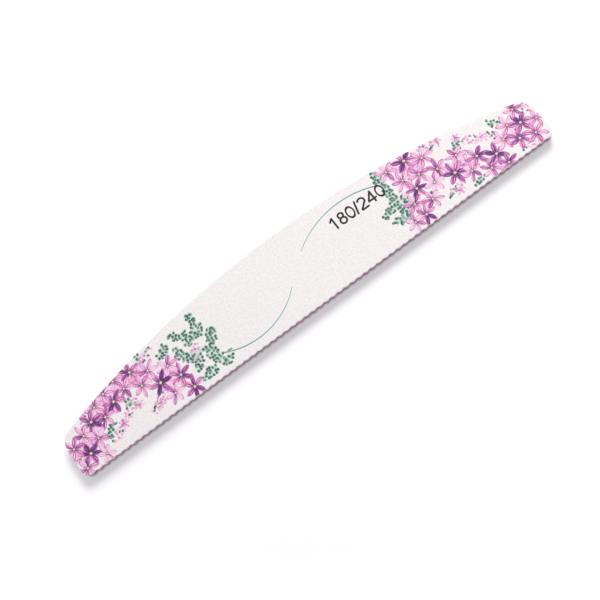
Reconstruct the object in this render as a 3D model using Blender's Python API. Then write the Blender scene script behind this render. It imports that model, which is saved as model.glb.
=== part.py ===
"""Half-moon nail file, 180 grit on the upper face and 240 grit on the lower one.

The file is a laminate. Seen from below it is built up as: grit coat, printed paper, glue, foam pad, glue,
the ribbed plastic core, and then the same five layers again in the opposite order.
Its straight edge is cut with a wavy blade, its curved edge is smooth, and the core's edge is ribbed.

Frame: X runs along the file, Y across it towards the curved edge and Z up through its thickness.
The origin is the middle of the lower face. Lengths are in metres.
"""

import math

import bmesh
import bpy

MM = 0.001

# Outline, seen from above
file_length = 178 * MM
file_width = 27.5 * MM
end_width = 14.4 * MM  # where the curved edge would meet the end if its corner were sharp
curved_corner_radius = 5.2 * MM
straight_corner_radius = 2.5 * MM

# Waves of the straight edge, and ribs in the edge of the core
wave_pitch = 2.5 * MM
wave_depth = 0.28 * MM
rib_pitch = 2.5 * MM
rib_depth = 0.5 * MM

# Thickness of each layer, and of the bond line between two layers
grit_thickness = 0.12 * MM
paper_thickness = 0.22 * MM
paper_glue_thickness = 0.06 * MM
foam_thickness = 0.74 * MM
core_glue_thickness = 0.06 * MM
core_thickness = 1.5 * MM
bond_gap = 0.01 * MM

# Points that draw the outline
points_per_wave = 2
points_per_rib = 4
curve_segments = 32
curved_corner_segments = 8
straight_corner_segments = 6
crease_angle = math.radians(40)

# Finish of each material: colour, roughness
grit_finish = ((0.87, 0.84, 0.83), 0.95)
paper_finish = ((0.90, 0.89, 0.87), 0.80)
glue_finish = ((0.86, 0.85, 0.80), 0.35)
foam_finish = ((0.92, 0.91, 0.92), 0.85)
core_finish = ((0.84, 0.22, 0.70), 0.30)


# Outline

half_length = file_length / 2
half_width = file_width / 2
curve_rise = file_width - end_width
curve_radius = (half_length**2 + curve_rise**2) / (2 * curve_rise)
curve_centre_y = half_width - curve_radius

# The curved corner touches the end line and the curved edge from inside
curved_corner_x = half_length - curved_corner_radius
corner_reach = curve_radius - curved_corner_radius
curved_corner_y = curve_centre_y + math.sqrt(corner_reach**2 - curved_corner_x**2)
curve_half_angle = math.asin(curved_corner_x / corner_reach)

straight_corner_x = half_length - straight_corner_radius
straight_corner_y = straight_corner_radius - half_width


def arc_points(centre, radius, start, end, segments):
    """Points of an arc from angle start up to, but without, angle end."""
    points = []
    for step in range(segments):
        angle = start + (end - start) * step / segments
        points.append((centre[0] + radius * math.cos(angle), centre[1] + radius * math.sin(angle)))
    return points


def dip(phase, depth):
    """Depth of a wave below its crests: none where phase is whole, all of it halfway between."""
    return depth * (1 - math.cos(math.tau * phase)) / 2


def wave_phases(length, pitch, points_per_pitch):
    """Share of the way along, and phase, of each point of a stretch that holds a whole number of waves."""
    waves = max(1, round(length / pitch))
    steps = waves * points_per_pitch
    return [(step / steps, step / points_per_pitch) for step in range(steps)]


def straight_edge(pitch, depth, points_per_pitch):
    """The straight edge from left to right, dipping into the file between its crests."""
    points = []
    for share, phase in wave_phases(2 * straight_corner_x, pitch, points_per_pitch):
        x = straight_corner_x * (2 * share - 1)
        points.append((x, dip(phase, depth) - half_width))
    return points


def plain_curved_edge():
    """The smooth curved edge from right to left."""
    right_end = math.pi / 2 - curve_half_angle
    left_end = math.pi / 2 + curve_half_angle
    return arc_points((0, curve_centre_y), curve_radius, right_end, left_end, curve_segments)


def ribbed_curved_edge(pitch, depth, points_per_pitch):
    """The curved edge from right to left, dipping between crests that lie on the smooth edge."""
    points = []
    for share, phase in wave_phases(2 * curve_half_angle * curve_radius, pitch, points_per_pitch):
        angle = math.pi / 2 + curve_half_angle * (2 * share - 1)
        radius = curve_radius - dip(phase, depth)
        points.append((radius * math.cos(angle), curve_centre_y + radius * math.sin(angle)))
    return points


def right_end():
    """The right end: its straight corner, and its curved corner up to the curved edge."""
    straight_corner = (straight_corner_x, straight_corner_y)
    curved_corner = (curved_corner_x, curved_corner_y)
    quarter = math.pi / 2
    lower = arc_points(straight_corner, straight_corner_radius, -quarter, 0, straight_corner_segments)
    lower.append((half_length, straight_corner_y))
    upper = arc_points(
        curved_corner, curved_corner_radius, 0, quarter - curve_half_angle, curved_corner_segments
    )
    return lower + upper


def left_end():
    """The left end, which mirrors the right one and is passed from the curved edge down."""
    mirrored = [(-x, y) for x, y in right_end()]
    mirrored.reverse()
    return mirrored


def closed_outline(lower_edge, upper_edge):
    """One turn round the file, anticlockwise from the left end of the straight edge."""
    turn = lower_edge + right_end() + upper_edge
    curve_left_end = (-upper_edge[0][0], upper_edge[0][1])
    turn.append(curve_left_end)
    return turn + left_end()[:-1]


def sheet_outline():
    """Outline of the papers, films and pads: wavy along the straight edge only."""
    return closed_outline(straight_edge(wave_pitch, wave_depth, points_per_wave), plain_curved_edge())


def core_outline():
    """Outline of the core: ribbed along both long edges."""
    lower_edge = straight_edge(rib_pitch, rib_depth, points_per_rib)
    return closed_outline(lower_edge, ribbed_curved_edge(rib_pitch, rib_depth, points_per_rib))


# Layers


def clear_scene():
    for item in list(bpy.data.objects):
        bpy.data.objects.remove(item, do_unlink=True)


def make_material(name, finish):
    colour, roughness = finish
    material = bpy.data.materials.new(name)
    material.use_nodes = True
    shader = material.node_tree.nodes["Principled BSDF"]
    shader.inputs["Base Color"].default_value = (*colour, 1)
    shader.inputs["Roughness"].default_value = roughness
    shader.inputs["Metallic"].default_value = 0
    return material


def make_layer(name, outline, thickness, height, finish):
    """One layer of the laminate: its outline drawn at z = 0, extruded up, and set at its height."""
    shape = bmesh.new()
    ring = [shape.verts.new((x, y, 0)) for x, y in outline]
    lower_face = shape.faces.new(ring)
    raised = bmesh.ops.extrude_face_region(shape, geom=[lower_face])["geom"]
    raised_points = [part for part in raised if isinstance(part, bmesh.types.BMVert)]
    bmesh.ops.translate(shape, vec=(0, 0, thickness), verts=raised_points)
    bmesh.ops.recalc_face_normals(shape, faces=shape.faces)
    bmesh.ops.triangulate(shape, faces=shape.faces, ngon_method="BEAUTY")
    mesh = bpy.data.meshes.new(name)
    shape.to_mesh(mesh)
    shape.free()
    mesh.shade_smooth()
    mesh.set_sharp_from_angle(angle=crease_angle)
    layer = bpy.data.objects.new(name, mesh)
    layer.location = (0, 0, height)
    layer.data.materials.append(make_material(name, finish))
    bpy.context.scene.collection.objects.link(layer)
    return layer


def covering_layers(side):
    """The layers that cover one face of the core, from the outside in."""
    outline = sheet_outline()
    return [
        ("grit_coat_" + side, outline, grit_thickness, grit_finish),
        ("printed_paper_" + side, outline, paper_thickness, paper_finish),
        ("paper_glue_" + side, outline, paper_glue_thickness, glue_finish),
        ("foam_pad_" + side, outline, foam_thickness, foam_finish),
        ("core_glue_" + side, outline, core_glue_thickness, glue_finish),
    ]


def build_file():
    """Stacks the layers from the lower face up, with a bond line between each two."""
    lower_layers = covering_layers("240")
    core = ("core_board", core_outline(), core_thickness, core_finish)
    upper_layers = covering_layers("180")
    upper_layers.reverse()
    height = 0
    for name, outline, thickness, finish in lower_layers + [core] + upper_layers:
        make_layer(name, outline, thickness, height, finish)
        height += thickness + bond_gap


clear_scene()
build_file()
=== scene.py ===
"""Looks of the half-moon nail file: printed grit faces, cut foam edges and a ribbed pink core.

Every layer of the laminate is one closed shell. Its rim is the file's outline, its edge is a profile carried
round that rim, and its two faces are grids stretched between the straight edge and the curved one.
The print and the grain are worked out by the materials from Object coordinates, in millimetres.
"""

import math

import bpy
import numpy as np
from mathutils import Matrix, Vector


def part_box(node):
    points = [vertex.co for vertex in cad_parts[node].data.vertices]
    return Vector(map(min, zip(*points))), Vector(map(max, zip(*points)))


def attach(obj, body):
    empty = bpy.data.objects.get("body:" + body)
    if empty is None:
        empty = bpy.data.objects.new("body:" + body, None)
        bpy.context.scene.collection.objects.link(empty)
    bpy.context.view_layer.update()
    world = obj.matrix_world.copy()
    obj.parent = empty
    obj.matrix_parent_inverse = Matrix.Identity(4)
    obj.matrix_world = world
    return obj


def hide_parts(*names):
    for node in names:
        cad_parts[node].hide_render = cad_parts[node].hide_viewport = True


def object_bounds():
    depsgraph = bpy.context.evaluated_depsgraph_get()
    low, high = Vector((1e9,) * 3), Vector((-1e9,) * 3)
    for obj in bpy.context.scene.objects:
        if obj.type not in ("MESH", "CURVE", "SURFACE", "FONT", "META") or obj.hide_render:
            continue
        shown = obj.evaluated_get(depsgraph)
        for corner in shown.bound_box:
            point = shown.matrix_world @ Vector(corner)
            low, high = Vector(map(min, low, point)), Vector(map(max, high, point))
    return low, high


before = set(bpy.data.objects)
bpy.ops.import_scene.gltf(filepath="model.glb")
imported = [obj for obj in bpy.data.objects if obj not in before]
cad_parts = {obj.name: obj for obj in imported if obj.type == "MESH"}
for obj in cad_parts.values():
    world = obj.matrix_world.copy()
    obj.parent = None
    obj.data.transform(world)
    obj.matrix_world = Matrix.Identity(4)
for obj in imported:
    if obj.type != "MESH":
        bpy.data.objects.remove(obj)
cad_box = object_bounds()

MM = 0.001

# Outline, with the overall sizes taken from the frame
file_length = cad_box[1].x - cad_box[0].x
file_width = cad_box[1].y - cad_box[0].y
end_width = 14.4 * MM
curved_corner_radius = 5.2 * MM
straight_corner_radius = 2.5 * MM
wave_pitch = 2.5 * MM
wave_depth = 0.28 * MM
rib_depth = 0.5 * MM

# Centres of the outline's arcs
half_length = file_length / 2
half_width = file_width / 2
curve_rise = file_width - end_width
curve_radius = (half_length**2 + curve_rise**2) / (2 * curve_rise)
curve_centre_y = half_width - curve_radius
curved_corner_x = half_length - curved_corner_radius
corner_reach = curve_radius - curved_corner_radius
curved_corner_y = curve_centre_y + math.sqrt(corner_reach**2 - curved_corner_x**2)
curve_half_angle = math.asin(curved_corner_x / corner_reach)
straight_corner_x = half_length - straight_corner_radius
straight_corner_y = straight_corner_radius - half_width
waves = round(2 * straight_corner_x / wave_pitch)

# Points that draw a rim
points_per_wave = 8
points_per_bead = 12
corner_segments = 12
end_rows = 8
crease_angle = math.radians(50)

# How steeply a bead of the core falls into its grooves: 0 as a parabola does, 1 as a circle does
bead_fullness = 0.82

# Profile of each layer's edge: inset in millimetres, and share of the layer's height
sheet_profile = ((0.15, 0), (0.03, 0), (0, 0.2), (0, 0.8), (0.03, 1), (0.15, 1))
film_profile = ((0.25, 0), (0.05, 0), (0.03, 0.5), (0.05, 1), (0.25, 1))
foam_profile = (
    (0.30, 0),
    (0.05, 0),
    (0.02, 0.1),
    (0.03, 0.3),
    (0.04, 0.5),
    (0.03, 0.7),
    (0.02, 0.9),
    (0.05, 1),
    (0.30, 1),
)
core_profile = (
    (0.35, 0),
    (0.16, 0),
    (0.07, 0.12),
    (0.02, 0.3),
    (0, 0.5),
    (0.02, 0.7),
    (0.07, 0.88),
    (0.16, 1),
    (0.35, 1),
)


# Rims


def turn(centre, radius, start, end, segments):
    """Points of an arc, angle by angle from start to end, both included."""
    angles = np.linspace(start, end, segments + 1)
    return np.stack([centre[0] + radius * np.cos(angles), centre[1] + radius * np.sin(angles)], 1)


def wavy(phase):
    """A raised cosine: 0 on each crest, 1 halfway between two crests."""
    return (1 - np.cos(math.tau * phase)) / 2


def beaded(phase):
    """Part of an ellipse over each bead: 0 in its middle, rising steeply to 1 at the grooves beside it."""
    across = 2 * (phase - np.round(phase))
    return (1 - np.sqrt(1 - bead_fullness * across**2)) / (1 - math.sqrt(1 - bead_fullness))


def lower_rim(depth, form, points):
    """Left corner, straight edge with its waves, right corner, from left to right."""
    quarter = math.pi / 2
    x = np.linspace(-straight_corner_x, straight_corner_x, waves * points + 1)
    dip = depth * form(np.arange(waves * points + 1) / points)
    edge = np.stack([x, dip - half_width], 1)
    left_centre = (-straight_corner_x, straight_corner_y)
    right_centre = (straight_corner_x, straight_corner_y)
    left = turn(left_centre, straight_corner_radius, -2 * quarter, -quarter, corner_segments)
    right = turn(right_centre, straight_corner_radius, -quarter, 0, corner_segments)
    return np.concatenate([left[:-1], edge, right[1:]])


def upper_rim(depth, form, points):
    """Left corner, curved edge with its ribs, right corner, from left to right."""
    up = math.pi / 2
    angles = np.linspace(up + curve_half_angle, up - curve_half_angle, waves * points + 1)
    radius = curve_radius - depth * form(np.arange(waves * points + 1) / points)
    edge = np.stack([radius * np.cos(angles), curve_centre_y + radius * np.sin(angles)], 1)
    left_centre = (-curved_corner_x, curved_corner_y)
    right_centre = (curved_corner_x, curved_corner_y)
    left = turn(left_centre, curved_corner_radius, 2 * up, up + curve_half_angle, corner_segments)
    right = turn(right_centre, curved_corner_radius, up - curve_half_angle, 0, corner_segments)
    return np.concatenate([left[:-1], edge, right[1:]])


def closed_rim(lower_depth, upper_depth, form, points):
    """One turn round the file: straight side, right end, curved side backwards, left end downwards."""
    lower = lower_rim(lower_depth, form, points)
    upper = upper_rim(upper_depth, form, points)
    shares = np.linspace(0, 1, end_rows + 1)[1:-1, None]
    right = lower[-1] + (upper[-1] - lower[-1]) * shares
    left = upper[0] + (lower[0] - upper[0]) * shares
    return np.concatenate([lower, right, upper[::-1], left])


def sheet_rim():
    """Rim of the papers, films and pads, wavy on the straight side alone."""
    return closed_rim(wave_depth, 0, wavy, points_per_wave)


def core_rim(depth):
    """Rim of the core, beaded on both long sides."""
    return closed_rim(depth, depth, beaded, points_per_bead)


def outward(rim):
    """Unit normal of each point of a rim, square to the chord between its two neighbours."""
    chord = np.roll(rim, -1, axis=0) - np.roll(rim, 1, axis=0)
    normal = np.stack([chord[:, 1], -chord[:, 0]], 1)
    return normal / np.linalg.norm(normal, axis=1, keepdims=True)


# Shells


def edge_points(rim, inset, height):
    """Points of a shell's edge: the rim moved in along its normals by each inset, at each height in turn."""
    edge = np.empty((len(height), len(rim), 3))
    edge[:, :, :2] = rim[None] - outward(rim)[None] * inset[:, None, None]
    edge[:, :, 2] = height[:, None]
    return edge.reshape(-1, 3)


def edge_quads(count, levels):
    """Quads between each two neighbouring rings of the edge, with count points to a ring."""
    across = np.arange(count)
    following = (across + 1) % count
    first_ring = np.stack([across, following, following + count, across + count], 1)
    starts = np.arange(levels - 1)[:, None, None] * count
    return (first_ring[None] + starts).reshape(-1, 4)


def face_grid(first, columns):
    """Numbers of the rim points that frame a face, as a grid whose inside is still unnumbered (-1)."""
    grid = np.full((columns + 1, end_rows + 1), -1)
    lower = first + np.arange(columns + 1)
    right = lower[-1] + 1 + np.arange(end_rows - 1)
    upper = lower[-1] + end_rows + np.arange(columns + 1)
    left = upper[-1] + 1 + np.arange(end_rows - 1)
    grid[:, 0] = lower
    grid[-1, 1:-1] = right
    grid[:, -1] = upper[::-1]
    grid[0, 1:-1] = left[::-1]
    return grid


def fill_face(points, grid, upward):
    """Fills a framed grid with points in straight columns from the straight edge to the curved one.

    Returns the new points and the face's quads."""
    inside = grid[1:-1, 1:-1]
    inside[...] = len(points) + np.arange(inside.size).reshape(inside.shape)
    shares = np.linspace(0, 1, end_rows + 1)[None, 1:-1, None]
    low = points[grid[1:-1, 0]][:, None]
    high = points[grid[1:-1, -1]][:, None]
    new = (low + (high - low) * shares).reshape(-1, 3)
    corners = [grid[:-1, :-1], grid[1:, :-1], grid[1:, 1:], grid[:-1, 1:]]
    quads = np.stack(corners, -1).reshape(-1, 4)
    return new, quads if upward else quads[:, ::-1]


def shell(name, rim, inset, height):
    """A closed shell: the profile of inset and height, carried round a rim, with a flat face at each end."""
    count = len(rim)
    levels = len(height)
    columns = count // 2 - end_rows
    points = edge_points(rim, inset, height)
    quads = [edge_quads(count, levels)]
    for level, upward in ((0, False), (levels - 1, True)):
        grid = face_grid(level * count, columns)
        new, face = fill_face(points, grid, upward)
        points = np.concatenate([points, new])
        quads.append(face)
    mesh = bpy.data.meshes.new(name)
    mesh.from_pydata(points.tolist(), [], np.concatenate(quads).tolist())
    mesh.shade_smooth()
    mesh.set_sharp_from_angle(angle=crease_angle)
    piece = bpy.data.objects.new(name, mesh)
    bpy.context.scene.collection.objects.link(piece)
    return piece


def layer(name, node, rim, profile, material):
    """A layer of the laminate: a shell as high as the solid that it stands for."""
    low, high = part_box(node)
    inset, share = np.array(profile).T
    piece = shell(name, rim, inset * MM, low.z + (high.z - low.z) * share)
    piece.data.materials.append(material)
    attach(piece, "root")
    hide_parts(node)
    return piece


# Nodes


def operator(operation, reflected=False):
    """A method that adds a Math node for one of Python's operators."""

    def apply(self, other):
        terms = (other, self) if reflected else (self, other)
        return self.nodes.math(operation, *terms)

    return apply


class Value:
    """A socket of a node. Python's operators on it add Math nodes."""

    def __init__(self, nodes, socket):
        self.nodes = nodes
        self.socket = socket

    __add__ = operator("ADD")
    __radd__ = operator("ADD", reflected=True)
    __sub__ = operator("SUBTRACT")
    __rsub__ = operator("SUBTRACT", reflected=True)
    __mul__ = operator("MULTIPLY")
    __rmul__ = operator("MULTIPLY", reflected=True)
    __truediv__ = operator("DIVIDE")
    __rtruediv__ = operator("DIVIDE", reflected=True)
    __pow__ = operator("POWER")
    __lt__ = operator("LESS_THAN")
    __gt__ = operator("GREATER_THAN")


class Nodes:
    """A node tree in the making. Its node method adds every node in it."""

    def __init__(self, tree):
        self.tree = tree

    def node(self, kind, settings, inputs, output=0):
        """Adds a node: its settings are set first, then its sockets get their values or links."""
        made = self.tree.nodes.new(kind)
        for key, value in settings.items():
            if key == "stops":
                self.set_stops(made.color_ramp, value)
            else:
                setattr(made, key, value)
        for key, value in inputs.items():
            self.feed(made.inputs[key], value)
        if isinstance(output, tuple):
            return [Value(self, made.outputs[name]) for name in output]
        return Value(self, made.outputs[output])

    def feed(self, socket, value):
        if isinstance(value, Value):
            self.tree.links.new(value.socket, socket)
        else:
            socket.default_value = value

    def set_stops(self, ramp, stops):
        while len(ramp.elements) < len(stops):
            ramp.elements.new(1)
        for element, (place, colour) in zip(ramp.elements, stops):
            element.position = place
            element.color = (*colour, 1)

    def math(self, operation, *terms):
        return self.node("ShaderNodeMath", {"operation": operation}, dict(enumerate(terms)))

    def vector(self, operation, *terms):
        output = "Value" if operation == "LENGTH" else "Vector"
        return self.node("ShaderNodeVectorMath", {"operation": operation}, dict(enumerate(terms)), output)

    def parts(self, vector):
        """The x, y and z of a vector."""
        return self.node("ShaderNodeSeparateXYZ", {}, {0: vector}, ("X", "Y", "Z"))

    def join(self, x, y, z=0.0):
        return self.node("ShaderNodeCombineXYZ", {}, {0: x, 1: y, 2: z})

    def between(self, limits, value):
        """0 on the near side of the first limit, 1 beyond the second, and a smooth step in between."""
        settings = {"interpolation_type": "SMOOTHSTEP"}
        low, high = limits
        return self.node("ShaderNodeMapRange", settings, {"Value": value, "From Min": low, "From Max": high})

    def blend_colour(self, share, below, above):
        return self.node("ShaderNodeMix", {"data_type": "RGBA"}, {0: share, 6: below, 7: above}, 2)

    def blend_vector(self, share, below, above):
        return self.node("ShaderNodeMix", {"data_type": "VECTOR"}, {0: share, 4: below, 5: above}, 1)

    def ramp(self, value, stops):
        return self.node("ShaderNodeValToRGB", {"stops": stops}, {0: value})

    def noise(self, vector, scale, detail=2.0):
        return self.node("ShaderNodeTexNoise", {}, {"Vector": vector, "Scale": scale, "Detail": detail})

    def bump(self, height, distance, strength):
        return self.node("ShaderNodeBump", {}, {"Height": height, "Distance": distance, "Strength": strength})

    def seen_from(self, place, centre, angle, size):
        """The x and y of a place as seen from a motif of that centre, angle and size, which reaches to 1."""
        x, y = place
        cosine, sine = math.cos(angle), math.sin(angle)
        rows = ((cosine / size[0], sine / size[0]), (-sine / size[1], cosine / size[1]))
        found = []
        for by_x, by_y in rows:
            start = -centre[0] * by_x - centre[1] * by_y
            found.append(self.math("MULTIPLY_ADD", x, by_x, self.math("MULTIPLY_ADD", y, by_y, start)))
        return found

    def millimetres(self):
        """Object coordinates in millimetres."""
        place = self.node("ShaderNodeTexCoord", {}, {}, "Object")
        return self.vector("MULTIPLY", place, (1 / MM, 1 / MM, 1 / MM))

    def seen_directly(self):
        """1 for the camera's own rays, mirror-like reflections and rays through something clear, else 0."""
        names = ("Is Camera Ray", "Is Glossy Ray", "Is Transmission Ray")
        camera, glossy, through = self.node("ShaderNodeLightPath", {}, {}, names)
        return self.math("MAXIMUM", camera, self.math("MAXIMUM", glossy, through))


class Finish(Nodes):
    """A material in the making, with the nodes that stand before its shader."""

    def __init__(self, name):
        self.material = bpy.data.materials.new(name)
        self.material.use_nodes = True
        super().__init__(self.material.node_tree)
        self.shader = self.tree.nodes["Principled BSDF"]

    def set(self, **values):
        """Sets the shader's own sockets, whose names are given with underscores for spaces."""
        for key, value in values.items():
            self.feed(self.shader.inputs[key.replace("_", " ")], value)


# Blossoms, whose lengths are shares of their own reach
petals = 6
first_petal = 5  # number of the petal that points along the blossom's own x
petal_valley = 0.66
petal_bluntness = 1.3
blossom_growth = 1.09
blossom_squash = (0.78, 1)
blossom_seed = 4
nowhere = (9, 9, 0)
tone_scale = 0.05

# Petals: colours from a pale tone to a dark one
petal_tones = (
    (0.00, (0.91, 0.60, 0.775)),
    (0.25, (0.81, 0.355, 0.61)),
    (0.50, (0.54, 0.155, 0.42)),
    (0.75, (0.25, 0.070, 0.27)),
    (1.00, (0.085, 0.033, 0.135)),
)

# Petals: what darkens the tone, and by how much
chance_shift = 0.75
chance_spread = 40
middle_share = 0.40
middle_shift = 0.35
streak_shift = 0.9
streaks_per_petal = 9
streaks_outward = 1.5
streak_spread = 60
side_shift = 0.55
vein_width = (0.02, 0.09)
vein_fade = (0.95, 0.5)
vein_shift = 0.28
gap_width = (0.75, 1.0)
gap_fade = (0.1, 0.3)
gap_shift = 0.38

# Petals: a rim that is dark on one side and pale on the other, and a pale glint beside the middle
rim_width = (0.78, 0.94)
rim_tone = 0.52
rim_contrast = 1.1
rim_strength = 0.75
glint_side = 0.16
glint_offset = 0.01
glint_width = (0.05, 0.0)
glint_start = (0.30, 0.50)
glint_end = (0.92, 0.75)
glint_shift = 0.45

# Eye of a blossom, which the palest ones lack
palest_with_eye = -0.05
eye_colour = (0.12, 0.05, 0.10, 1)
eye_reach = 0.14
eye_growth = 0.03
stamen_width = 0.16
stamen_reach = 0.22
stamen_half_length = 0.03
pollen_colour = (0.66, 0.68, 0.40, 1)
pollen_reach = 0.09

# Blossoms from the back one to the front one: x, y and reach in millimetres, and tone from pale to dark
blossoms = (
    (45.4, 4.6, 4.8, -0.10),
    (59.4, -4.2, 4.2, -0.12),
    (-51.6, -4.6, 4.8, -0.08),
    (-58.6, 2.0, 4.2, -0.12),
    (-63.4, 4.0, 4.6, -0.06),
    (-72.0, 1.6, 4.8, -0.10),
    (-80.6, -5.4, 4.8, -0.10),
    (-84.6, -6.2, 4.4, -0.06),
    (40.2, 8.4, 3.5, 0.22),
    (42.6, 3.0, 3.9, 0.12),
    (46.8, 8.0, 4.1, 0.62),
    (47.8, 1.6, 3.8, 0.40),
    (51.8, 5.4, 4.0, 0.18),
    (44.4, -1.8, 3.5, 0.72),
    (53.4, -0.6, 3.8, 0.50),
    (50.0, -3.6, 3.7, 0.10),
    (40.8, -5.6, 3.5, 0.42),
    (46.2, -7.6, 3.6, 0.34),
    (41.6, -10.4, 3.6, 0.64),
    (37.4, -10.4, 3.3, 0.24),
    (56.8, -5.0, 4.1, 0.76),
    (60.6, -0.6, 3.6, 0.22),
    (61.2, -7.8, 3.5, 0.34),
    (65.4, -4.8, 3.9, 0.66),
    (66.6, -10.8, 3.5, 0.30),
    (70.6, -8.0, 4.0, 0.68),
    (71.8, -12.6, 3.4, 0.45),
    (75.2, -5.6, 3.7, 0.25),
    (79.4, -8.4, 4.0, 0.44),
    (79.0, -2.6, 3.6, 0.08),
    (82.8, -4.4, 3.9, 0.74),
    (84.4, -10.0, 3.8, 0.28),
    (83.6, 0.6, 3.4, 0.50),
    (87.6, -6.2, 3.5, 0.18),
    (58.6, 7.2, 1.7, 0.05),
    (63.8, 4.0, 1.6, 0.12),
    (54.6, -10.4, 1.7, 0.05),
    (70.2, -0.6, 1.7, 0.10),
    (-46.6, -10.8, 4.0, 0.82),
    (-48.0, -5.2, 3.9, 0.60),
    (-52.4, -8.8, 3.6, 0.24),
    (-49.8, -0.4, 3.7, 0.25),
    (-54.4, -3.4, 4.1, 0.80),
    (-55.6, 2.2, 3.6, 0.22),
    (-59.6, -0.6, 3.8, 0.40),
    (-60.4, 5.2, 3.9, 0.66),
    (-64.6, 2.0, 3.7, 0.34),
    (-66.2, 6.0, 3.5, 0.30),
    (-69.4, 0.6, 4.0, 0.82),
    (-70.8, 4.6, 3.6, 0.26),
    (-74.0, -1.8, 3.8, 0.50),
    (-75.2, 2.8, 3.5, 0.22),
    (-78.4, -0.4, 3.9, 0.74),
    (-79.2, -5.8, 3.7, 0.12),
    (-82.6, -2.6, 3.8, 0.35),
    (-83.6, -8.4, 4.0, 0.84),
    (-87.2, -4.2, 3.6, 0.20),
    (-86.8, -11.6, 3.6, 0.42),
    (-79.6, -11.4, 3.3, 0.10),
    (-58.0, -8.6, 1.7, 0.08),
    (-63.4, -5.0, 1.6, 0.05),
    (-70.6, -7.2, 1.7, 0.12),
)


def petal_reach(finish, x, y):
    """How far the blossom reaches towards x and y, and that direction in petals.

    Also how far the direction is off its petal's axis: 0 on it, and 0.5 halfway to the next one."""
    along = finish.math("ARCTAN2", y, x) * (petals / math.tau)
    off_axis = finish.math("PINGPONG", along, 0.5)
    valley = petal_valley * 2**petal_bluntness
    return finish.math("MULTIPLY_ADD", off_axis**petal_bluntness, -valley, 1), along, off_axis


def top_blossom(finish, place):
    """The place as seen from the last blossom in the list that covers it, with that blossom's tone as z."""
    draw = np.random.default_rng(blossom_seed)
    chosen = nowhere
    for x, y, size, tone in blossoms:
        squash = draw.uniform(*blossom_squash)
        size = size * blossom_growth
        own_x, own_y = finish.seen_from(place, (x, y), draw.uniform(0, math.tau), (size, size * squash))
        own = finish.join(own_x, own_y, tone * tone_scale)
        reach, _, _ = petal_reach(finish, own_x, own_y)
        chosen = finish.blend_vector(finish.vector("LENGTH", own) < reach, chosen, own)
    return chosen


def petal_side(finish, along):
    """Number of the petal, and how far a place is to one side (-0.5) or the other (0.5) of its axis."""
    petal = finish.math("ROUND", along + first_petal)
    return petal, along + first_petal - petal


def petal_shade(finish, tone, along, distance, share):
    """Tone of a petal: its blossom's, shifted by chance, and darker inwards, in streaks and on one side."""
    petal, side = petal_side(finish, along)
    seed = finish.join(petal, tone * chance_spread)
    chance = finish.node("ShaderNodeTexWhiteNoise", {"noise_dimensions": "3D"}, {"Vector": seed}, "Value")
    place = finish.join(along * streaks_per_petal, distance * streaks_outward, tone * streak_spread)
    streak = finish.noise(place, 1.0) - 0.5
    shade = tone + (chance - 0.5) * chance_shift + (middle_share - share) * middle_shift
    return shade + streak * streak_shift + side * side_shift


def petal_lines(finish, shade, along, off_axis, distance, share):
    """Adds to a petal's tone its vein, the dark gap beside it, its rim and a glint.

    Here off_axis is 0 on the petal's axis and 1 halfway to the next one."""
    _, side = petal_side(finish, along)
    vein = (1 - finish.between(vein_width, off_axis * distance)) * finish.between(vein_fade, share)
    gap = finish.between(gap_width, off_axis) * finish.between(gap_fade, distance)
    rim = finish.between(rim_width, share) * rim_strength
    beside = finish.math("ABSOLUTE", (side - glint_side) * distance + glint_offset)
    glint = finish.between(glint_width, beside)
    glint = glint * finish.between(glint_start, share) * finish.between(glint_end, share)
    lines = vein * vein_shift + gap * gap_shift - glint * glint_shift
    return shade + lines + rim * (side * rim_contrast + rim_tone - shade)


def with_eye(finish, colour, along, distance, tone):
    """Adds a dark eye with a ring of stamens, and the pollen in its middle."""
    seen = tone > palest_with_eye
    growth = tone * eye_growth
    stamens = finish.math("PINGPONG", along * 2, 0.5) < stamen_width
    stamens = stamens * (finish.math("ABSOLUTE", distance - stamen_reach) < stamen_half_length)
    dark = finish.math("MAXIMUM", stamens, distance < growth + eye_reach)
    colour = finish.blend_colour(dark * seen, colour, eye_colour)
    return finish.blend_colour((distance < growth + pollen_reach) * seen, colour, pollen_colour)


def blossom_colour(finish, own):
    """Colour of a blossom and where it is, from the place as its petals see it."""
    x, y, tone = finish.parts(own)
    reach, along, off_axis = petal_reach(finish, x, y)
    distance = finish.vector("LENGTH", own)
    share = distance / reach
    tone = tone / tone_scale
    shade = petal_shade(finish, tone, along, distance, share)
    shade = petal_lines(finish, shade, along, off_axis * 2, distance, share)
    colour = finish.ramp(shade, petal_tones)
    return with_eye(finish, colour, along, distance, tone), share < 1


# Leaves and buds: one oval to a cell, in cells to the millimetre and lengths in millimetres
cell_scale = 1.02
cell_scatter = 0.9
oval_turns = 3.1
oval_size = (0.52, 0.42, 1)
oval_chance = 0.65
oval_side = 0.30
oval_start = 0.20
oval_edge = (0.7, 1.0)
oval_edge_shift = 0.20
leaf_tones = (
    (0.00, (0.034, 0.080, 0.070)),
    (0.50, (0.085, 0.19, 0.15)),
    (1.00, (0.34, 0.48, 0.41)),
)
leaf_wash = (0.53, 0.68, 0.60, 1)
wash_reach = (1.1, 2.4)
wash_strength = 0.9
bud_tones = (
    (0.00, (0.62, 0.16, 0.42)),
    (0.50, (0.87, 0.45, 0.66)),
    (1.00, (0.93, 0.70, 0.82)),
)
bud_reach = 0.95
leaves_among_buds = 0.3

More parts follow.
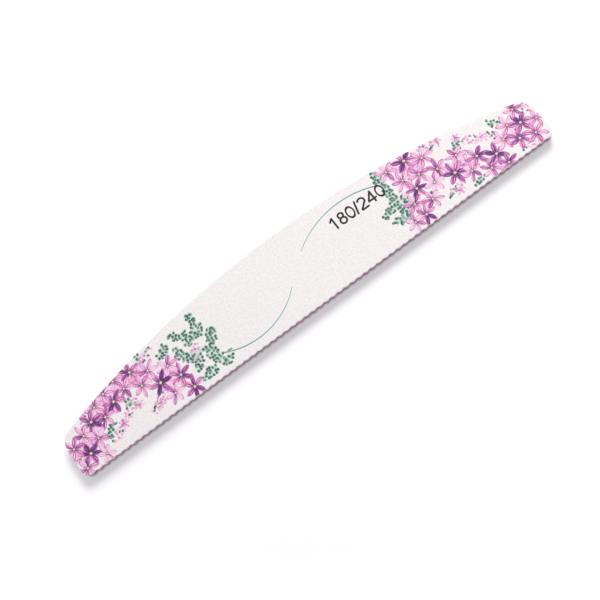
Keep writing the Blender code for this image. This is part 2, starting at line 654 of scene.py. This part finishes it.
# Sprays of small leaves: x, y, half length and half width in millimetres, and turn in degrees
sprays = (
    (36.6, 8.4, 3.4, 1.7, 110),
    (36.6, 0.6, 4.4, 1.9, 85),
    (38.0, -4.8, 4.4, 2.0, 60),
    (33.4, -2.6, 3.4, 1.4, 15),
    (34.4, -7.4, 3.2, 1.4, -25),
    (46.6, -7.0, 3.4, 1.5, 40),
    (62.6, 1.8, 3.0, 1.2, 60),
    (76.2, 0.6, 2.6, 1.2, 130),
    (61.0, -12.0, 2.6, 1.1, 10),
    (-36.0, -6.6, 4.4, 2.0, 110),
    (-34.0, -1.4, 3.8, 1.7, 60),
    (-37.8, 2.6, 4.2, 1.9, 20),
    (-41.0, -4.4, 4.0, 1.9, 70),
    (-40.4, -10.4, 3.4, 1.6, 10),
    (-44.4, -0.4, 3.4, 1.6, 110),
    (-36.0, 6.6, 3.4, 1.5, 80),
    (-41.6, 5.0, 3.6, 1.6, 150),
    (-32.6, -9.8, 3.0, 1.4, 40),
    (-48.6, 4.4, 3.2, 1.4, 30),
    (-56.6, 7.0, 2.6, 1.1, 60),
    (-65.4, -2.8, 3.0, 1.2, 120),
    (-74.6, -6.4, 2.6, 1.2, 40),
)

# Sprays of buds, in the same terms
bud_sprays = (
    (39.4, -1.4, 2.2, 1.4, 0),
    (55.6, 7.4, 4.2, 1.5, -25),
    (67.4, 0.6, 4.6, 1.6, -35),
    (54.2, -9.6, 4.0, 1.6, 10),
    (72.6, -2.0, 3.0, 1.6, -30),
    (81.4, -12.2, 4.4, 1.2, 0),
    (87.0, -1.0, 2.0, 1.6, 60),
    (-40.0, -1.6, 3.0, 1.5, 60),
    (-57.6, -8.2, 4.6, 1.6, 25),
    (-66.6, -4.4, 4.4, 1.7, 30),
    (-73.4, -8.4, 3.6, 1.5, 20),
    (-53.4, 6.8, 3.2, 1.3, 20),
    (-79.2, 3.2, 3.0, 1.2, 40),
    (-87.0, -8.0, 1.8, 1.6, 0),
)


def within(finish, place, ovals):
    """Where a place lies in one of the ovals."""
    inside = 0
    for x, y, long, wide, degrees in ovals:
        seen = finish.join(*finish.seen_from(place, (x, y), math.radians(degrees), (long, wide)))
        inside = finish.math("MAXIMUM", inside, finish.vector("LENGTH", seen) < 1)
    return inside


def scattered_ovals(finish, place):
    """Small ovals, one to a cell: how far out in its own a place is, its shade and kind, and its middle."""
    settings = {"voronoi_dimensions": "2D", "feature": "F1"}
    inputs = {"Vector": place, "Scale": cell_scale, "Randomness": cell_scatter}
    middle, chance = finish.node("ShaderNodeTexVoronoi", settings, inputs, ("Position", "Color"))
    turned, tone, kind = finish.parts(chance)
    inputs = {"Vector": finish.vector("SUBTRACT", place, middle), "Angle": turned * oval_turns}
    own = finish.node("ShaderNodeVectorRotate", {"rotation_type": "Z_AXIS"}, inputs)
    own = finish.vector("DIVIDE", own, oval_size)
    _, side, _ = finish.parts(own)
    distance = finish.vector("LENGTH", own)
    edge = finish.between(oval_edge, distance)
    shade = tone * oval_chance + side * oval_side + oval_start + edge * oval_edge_shift
    return distance, shade, kind, middle


def with_sprays(finish, place, colour):
    """Adds small oval leaves and buds, in the cells whose middle lies in a spray."""
    distance, shade, kind, middle = scattered_ovals(finish, place)
    middle_x, middle_y, _ = finish.parts(middle)
    leafy = within(finish, (middle_x, middle_y), sprays)
    budding = within(finish, (middle_x, middle_y), bud_sprays)
    leaf = finish.ramp(shade, leaf_tones)
    bud = finish.blend_colour(kind < leaves_among_buds, finish.ramp(shade, bud_tones), leaf)
    wash = leafy * (1 - finish.between(wash_reach, distance)) * wash_strength
    colour = finish.blend_colour(wash, colour, leaf_wash)
    colour = finish.blend_colour((distance < 1) * leafy, colour, leaf)
    return finish.blend_colour((distance < bud_reach) * budding, colour, bud)


# Curved stems: x and y of the circle's centre, its radius, and x of the root and of the tip, in millimetres
stems = (
    (22.0, -22.0, 31.6, 35.0, 4.0),
    (-22.0, 14.0, 24.5, -34.0, -5.0),
)
stem_colour = (0.17, 0.38, 0.37, 1)
stem_tip = 0.10
stem_growth = 0.14


def stem_cover(finish, place, centre, radius, root, tip):
    """Where a thin curved stem lies: on a circle, from the x of its root to that of its thinner tip."""
    x, y = finish.seen_from(place, centre, 0, (1, 1))
    off = finish.math("ABSOLUTE", finish.vector("LENGTH", finish.join(x, y)) - radius)
    share = (x + (centre[0] - tip)) / (root - tip)
    bulge = (y > 0) if centre[1] < 0 else (y < 0)
    return (off < share * stem_growth + stem_tip) * (share > 0) * (share < 1) * bulge


def with_stems(finish, place, colour):
    """Adds the curved stems."""
    covers = [stem_cover(finish, place, (x, y), *rest) for x, y, *rest in stems]
    return finish.blend_colour(finish.math("MAXIMUM", *covers), colour, stem_colour)


# Number: plain strokes, in millimetres
figure_colour = (0.022, 0.022, 0.024, 1)
stroke = 0.64

# Straight strokes: x and y of their two ends
bars = (
    ((17.6, 2.62), (17.6, 6.98)),
    ((17.6, 6.78), (16.4, 5.68)),
    ((25.3, 2.52), (26.5, 7.08)),
    ((26.9, 2.92), (29.7, 2.92)),
    ((27.0, 3.02), (29.1, 4.92)),
    ((32.2, 2.62), (32.2, 6.98)),
    ((30.0, 3.92), (33.2, 3.92)),
    ((30.2, 3.92), (32.2, 6.68)),
)

# Oval strokes: x and y of the centre, and half width and half height of the middle line
rings = (
    (20.5, 3.96, 1.06, 1.04),
    (20.5, 5.83, 0.86, 0.85),
    (23.6, 4.8, 1.2, 1.88),
    (34.95, 4.8, 1.2, 1.88),
)

# Open stroke: an oval in the same terms, kept on one side of a slanting line through its centre's lower left
hook = (28.3, 5.56, 1.15, 1.12)
hook_slant = (0.6, 0.8)
hook_limit = -0.42


def bar_cover(finish, place, start, end):
    """Where a straight stroke between two points lies."""
    (x0, y0), (x1, y1) = start, end
    length = math.dist(start, end)
    angle = math.atan2(y1 - y0, x1 - x0)
    centre = ((x0 + x1) / 2, (y0 + y1) / 2)
    x, y = finish.seen_from(place, centre, angle, (length / 2, stroke / 2))
    return finish.math("MAXIMUM", finish.math("ABSOLUTE", x), finish.math("ABSOLUTE", y)) < 1


def ring_cover(finish, place, x, y, wide, high):
    """Where an oval stroke lies, given the half width and half height of its middle line."""
    own = finish.join(*finish.seen_from(place, (x, y), 0, (wide, high)))
    off = finish.math("ABSOLUTE", finish.vector("LENGTH", own) - 1)
    return off < stroke / (wide + high)


def hook_cover(finish, place):
    """Where the open stroke lies."""
    x, y = finish.seen_from(place, hook[:2], 0, (1, 1))
    kept = y * hook_slant[1] + x * hook_slant[0] > hook_limit
    return ring_cover(finish, place, *hook) * kept


def number_cover(finish, place):
    """Where the grit number stands: 180/240 in plain strokes."""
    cover = hook_cover(finish, place)
    for start, end in bars:
        cover = finish.math("MAXIMUM", cover, bar_cover(finish, place, start, end))
    for oval in rings:
        cover = finish.math("MAXIMUM", cover, ring_cover(finish, place, *oval))
    return cover


# Grit face
paper_tones = (
    (0.30, (0.815, 0.77, 0.765)),
    (0.70, (0.935, 0.90, 0.895)),
)
mottle_scale = 1.5
mottle_detail = 4.0
file_middle = 2.0
print_height = 1.98
grain_scale = 8.0
grain_darkest = 0.95
grain_contrast = 0.10
grain_height = 0.04 * MM
grain_strength = 0.5
grain_roughness = 0.85
glitter_share = 0.93
glitter_polish = 0.5
grit_gloss = 0.35


def printed_colour(finish, place, bare):
    """The print on the bare paper: stems at the back, then sprays, blossoms and the number."""
    x, y, _ = finish.parts(place)
    colour = with_stems(finish, (x, y), bare)
    colour = with_sprays(finish, place, colour)
    petal_colour, cover = blossom_colour(finish, top_blossom(finish, (x, y)))
    colour = finish.blend_colour(cover, colour, petal_colour)
    return finish.blend_colour(number_cover(finish, (x, y)), colour, figure_colour)


def grains(finish, place):
    """Single grains: their height, their shade and which of them glitter."""
    inputs = {"Vector": place, "Scale": grain_scale}
    hump, chance = finish.node("ShaderNodeTexVoronoi", {"feature": "F1"}, inputs, ("Distance", "Color"))
    glitter, shade, _ = finish.parts(chance)
    shade = shade * grain_contrast + grain_darkest
    return 1 - hump, finish.join(shade, shade, shade), glitter > glitter_share


def printed_grit(name):
    """The grit face: paper printed with blossoms and leaves, under a coat of fine grain.

    The coat's own cut edge, away from the two faces of the file, shows bare paper."""
    finish = Finish(name)
    place = finish.millimetres()
    place.socket.node.name = "millimetres"
    flat = finish.vector("MULTIPLY", place, (1, 1, 0))
    bare = finish.ramp(finish.noise(flat, mottle_scale, mottle_detail), paper_tones)
    _, _, z = finish.parts(place)
    on_face = finish.math("ABSOLUTE", z - file_middle) > print_height
    colour = finish.blend_colour(on_face, bare, printed_colour(finish, flat, bare))
    height, shade, glitter = grains(finish, place)
    finish.set(Base_Color=finish.vector("MULTIPLY", colour, shade), Specular_IOR_Level=grit_gloss)
    finish.set(Roughness=grain_roughness - glitter * glitter_polish)
    finish.set(Normal=finish.bump(height, grain_height, grain_strength))
    return finish.material


def read_from_below(material, name):
    """The same finish with its print mirrored along the file, so that it reads rightly from below."""
    mirrored = material.copy()
    mirrored.name = name
    mirrored.node_tree.nodes["millimetres"].inputs[1].default_value[0] *= -1
    return mirrored


# Cut paper
paper_edge_tones = ((0.3, (0.72, 0.70, 0.69)), (0.7, (0.89, 0.88, 0.87)))
fibre_scale = (3.0, 3.0, 22.0)
fibre_detail = 3.0
fibre_height = 0.02 * MM
fibre_strength = 0.6
paper_roughness = 0.85
paper_gloss = 0.3


def cut_paper():
    """Backing paper: warm white, with fibres that lie flat and show as fine lines at its cut edge."""
    finish = Finish("cut_paper")
    place = finish.vector("MULTIPLY", finish.millimetres(), fibre_scale)
    fibre = finish.noise(place, 1.0, fibre_detail)
    finish.set(Base_Color=finish.ramp(fibre, paper_edge_tones))
    finish.set(Roughness=paper_roughness, Specular_IOR_Level=paper_gloss)
    finish.set(Normal=finish.bump(fibre, fibre_height, fibre_strength))
    return finish.material


# Glue
glue_tones = ((0.3, (0.72, 0.69, 0.60)), (0.7, (0.86, 0.85, 0.80)))
cloud_scale = 2.5
cloud_height = 0.02 * MM
cloud_strength = 0.4
glue_roughness = 0.2
cloud_roughness = 0.3


def glue_film():
    """Clear adhesive: a glossy hairline, a little yellow and clouded in places."""
    finish = Finish("glue_film")
    cloud = finish.noise(finish.millimetres(), cloud_scale)
    finish.set(Base_Color=finish.ramp(cloud, glue_tones))
    finish.set(Roughness=cloud * cloud_roughness + glue_roughness)
    finish.set(Normal=finish.bump(cloud, cloud_height, cloud_strength))
    return finish.material


# Cut foam
foam_tones = ((0.15, (0.89, 0.875, 0.885)), (0.85, (0.77, 0.74, 0.76)))
foam_cell_scale = 5.5
foam_wall = (0.02, 0.30)
cell_dent_painted_shade = 0.55
foam_cloud_share = 0.45
foam_cloud_scale = 1.3
foam_dent = 0.05 * MM
foam_dent_strength = 0.8
foam_roughness = 0.9
foam_gloss = 0.2


def cut_foam():
    """Closed-cell foam: white, with cells that are cut open as small dents, painted darker inside as painted
    shade so that their thin walls stand bright, and a cloudy tone.
    """
    finish = Finish("cut_foam")
    place = finish.millimetres()
    inputs = {"Vector": place, "Scale": foam_cell_scale}
    wall = finish.node("ShaderNodeTexVoronoi", {"feature": "DISTANCE_TO_EDGE"}, inputs, "Distance")
    depth = finish.between(foam_wall, wall)
    # Painted shade: the dents of the cut cells are painted darker, on top of a random cloudy tone
    tone = depth * cell_dent_painted_shade + finish.noise(place, foam_cloud_scale) * foam_cloud_share
    finish.set(Base_Color=finish.ramp(tone, foam_tones))
    finish.set(Roughness=foam_roughness, Specular_IOR_Level=foam_gloss)
    finish.set(Normal=finish.bump(1 - depth, foam_dent, foam_dent_strength))
    return finish.material


# Core: pink with painted light and shade, from a painted highlight on the crests of the curved side to
# painted shade in the grooves of the straight side, which lies in shade
core_tones = (
    (0.00, (0.91, 0.30, 0.82)),
    (0.10, (0.84, 0.19, 0.73)),
    (0.38, (0.58, 0.085, 0.50)),
    (0.62, (0.44, 0.072, 0.33)),
    (1.00, (0.18, 0.03, 0.14)),
)
# Painted shade on the core's straight side, which lies in shade, and how far up from the straight edge it
# reaches, in corner radii
straight_side_painted_shade = 0.62
straight_shade_reach = 1.3
mark_scale = (9.0, 9.0, 1.2)
mark_detail = 3.0
mark_contrast = 0.25
mark_height = 0.03 * MM
mark_strength = 0.5
dust_colour = (0.93, 0.78, 0.88, 1)
dust_scale = 3.2
dust_detail = 4.0
dust_cover = (0.58, 0.74)
dust_strength = 0.35
core_roughness = 0.14
mark_roughness = 0.25
dust_roughness = 0.3


def paint_groove_shade(piece, rim, levels):
    """Gives each point of the core's edge its place in the core's tones, as a point attribute of painted
    shade.

    The painted shade rises with the depth below the crests, where the grooves lie in shade, and on the
    straight side, which lies in shade and fades out round its corners."""
    depth = np.linalg.norm(rim - core_rim(0), axis=1) / rib_depth
    rise = (rim[:, 1] + half_width) / straight_corner_radius
    straight = np.clip(straight_shade_reach - rise, 0, 1)
    darkness = depth * (1 - straight_side_painted_shade) + straight * straight_side_painted_shade
    groove = np.zeros(len(piece.data.vertices))
    groove[: levels * len(rim)] = np.tile(darkness, levels)
    piece.data.attributes.new("groove", "FLOAT", "POINT").data.foreach_set("value", groove)


def pink_plastic():
    """Core: bright pink satin plastic, with a painted highlight on the crests of its ribs and painted shade
    in its grooves and on its straight side, with saw marks and a little dust.
    """
    finish = Finish("pink_plastic")
    place = finish.millimetres()
    # The point attribute holds painted shade: a painted highlight on the crests, painted shade in the grooves
    # and on the straight side
    groove = finish.node("ShaderNodeAttribute", {"attribute_name": "groove"}, {}, "Fac")
    marks = finish.noise(finish.vector("MULTIPLY", place, mark_scale), 1.0, mark_detail)
    dust = finish.between(dust_cover, finish.noise(place, dust_scale, dust_detail))
    colour = finish.ramp(groove + (marks - 0.5) * mark_contrast, core_tones)
    finish.set(Base_Color=finish.blend_colour(dust * dust_strength, colour, dust_colour))
    finish.set(Roughness=marks * mark_roughness + dust * dust_roughness + core_roughness)
    finish.set(Normal=finish.bump(marks, mark_height, mark_strength))
    return finish.material


# The laminate


def make_file():
    """All eleven layers, each in the place of its solid."""
    upper_grit = printed_grit("printed_grit_180")
    lower_grit = read_from_below(upper_grit, "printed_grit_240")
    paper = cut_paper()
    glue = glue_film()
    foam = cut_foam()
    rim = sheet_rim()
    for side, grit in (("180", upper_grit), ("240", lower_grit)):
        layer("grit_face_" + side, "grit_coat_" + side, rim, sheet_profile, grit)
        layer("paper_sheet_" + side, "printed_paper_" + side, rim, sheet_profile, paper)
        layer("outer_glue_" + side, "paper_glue_" + side, rim, film_profile, glue)
        layer("foam_layer_" + side, "foam_pad_" + side, rim, foam_profile, foam)
        layer("inner_glue_" + side, "core_glue_" + side, rim, film_profile, glue)
    beads = core_rim(rib_depth)
    core = layer("ribbed_core", "core_board", beads, core_profile, pink_plastic())
    # Paints shade into the core's grooves and onto its straight side
    paint_groove_shade(core, beads, len(core_profile))


# Floor and light
floor_reach = 3.0
floor_gap = 0.02 * MM
floor_colour = (0.84, 0.838, 0.845, 1)
floor_lift = ((0.085, (0.21, 0.21, 0.21)), (0.26, (0.74, 0.74, 0.74)))
room_light = (0.50, 0.492, 0.505, 1)
black = (0, 0, 0, 1)
white = (1, 1, 1, 1)
key_place = (0.316, 0.434, 0.58)
key_size = 0.4
key_power = 4.95


def make_floor():
    """A white floor just under the file, lifted to white where it is seen directly, more so further out."""
    sides = ((-1, -1), (1, -1), (1, 1), (-1, 1))
    corners = [(x * floor_reach, y * floor_reach, -floor_gap) for x, y in sides]
    mesh = bpy.data.meshes.new("floor")
    mesh.from_pydata(corners, [], [(0, 1, 2, 3)])
    floor = bpy.data.objects.new("floor", mesh)
    bpy.context.scene.collection.objects.link(floor)
    finish = Finish("white_floor")
    place = finish.node("ShaderNodeTexCoord", {}, {}, "Object")
    lift = finish.ramp(finish.vector("LENGTH", place), floor_lift)
    lift = finish.blend_colour(finish.seen_directly(), black, lift)
    finish.set(Base_Color=floor_colour, Roughness=1.0, Specular_IOR_Level=0.0)
    finish.set(Emission_Color=lift, Emission_Strength=1.0)
    mesh.materials.append(finish.material)


def make_world():
    """Even light from all round, which is white where it is seen directly."""
    world = bpy.data.worlds.new("studio")
    world.use_nodes = True
    nodes = Nodes(world.node_tree)
    level = nodes.blend_colour(nodes.seen_directly(), room_light, white)
    nodes.feed(world.node_tree.nodes["Background"].inputs["Color"], level)
    bpy.context.scene.world = world


def make_key_light():
    """A square soft box behind the curved side, facing the middle of the file."""
    lamp = bpy.data.lights.new("key", "AREA")
    lamp.size = key_size
    lamp.energy = key_power
    light = bpy.data.objects.new("key", lamp)
    light.location = key_place
    light.rotation_euler = (-Vector(key_place)).to_track_quat("-Z", "Y").to_euler()
    bpy.context.scene.collection.objects.link(light)


# Camera, fitted to the outline in the photograph
view_angle = math.radians(30)
camera_distance = 348.4 * MM
camera_tilt = math.radians(-16.7)
camera_lean = math.radians(3.5)
camera_roll = math.radians(37.35)
camera_slide = (-0.1 * MM, 8.58 * MM)


def make_camera():
    """The photograph's camera: the file turned by roll, tilt and lean, then slid and moved away from it."""
    turned = Matrix.Rotation(camera_roll, 3, "Z") @ Matrix.Rotation(camera_tilt, 3, "X")
    turned = (turned @ Matrix.Rotation(camera_lean, 3, "Y")).transposed()
    place = turned @ Vector((-camera_slide[0], -camera_slide[1], camera_distance))
    lens = bpy.data.cameras.new("camera")
    lens.angle = view_angle
    camera = bpy.data.objects.new("camera", lens)
    camera.matrix_world = Matrix.Translation(place) @ turned.to_4x4()
    bpy.context.scene.collection.objects.link(camera)
    bpy.context.scene.camera = camera


make_camera()
make_world()
make_floor()
make_key_light()
make_file()
bpy.context.scene.view_settings.view_transform = "Standard"
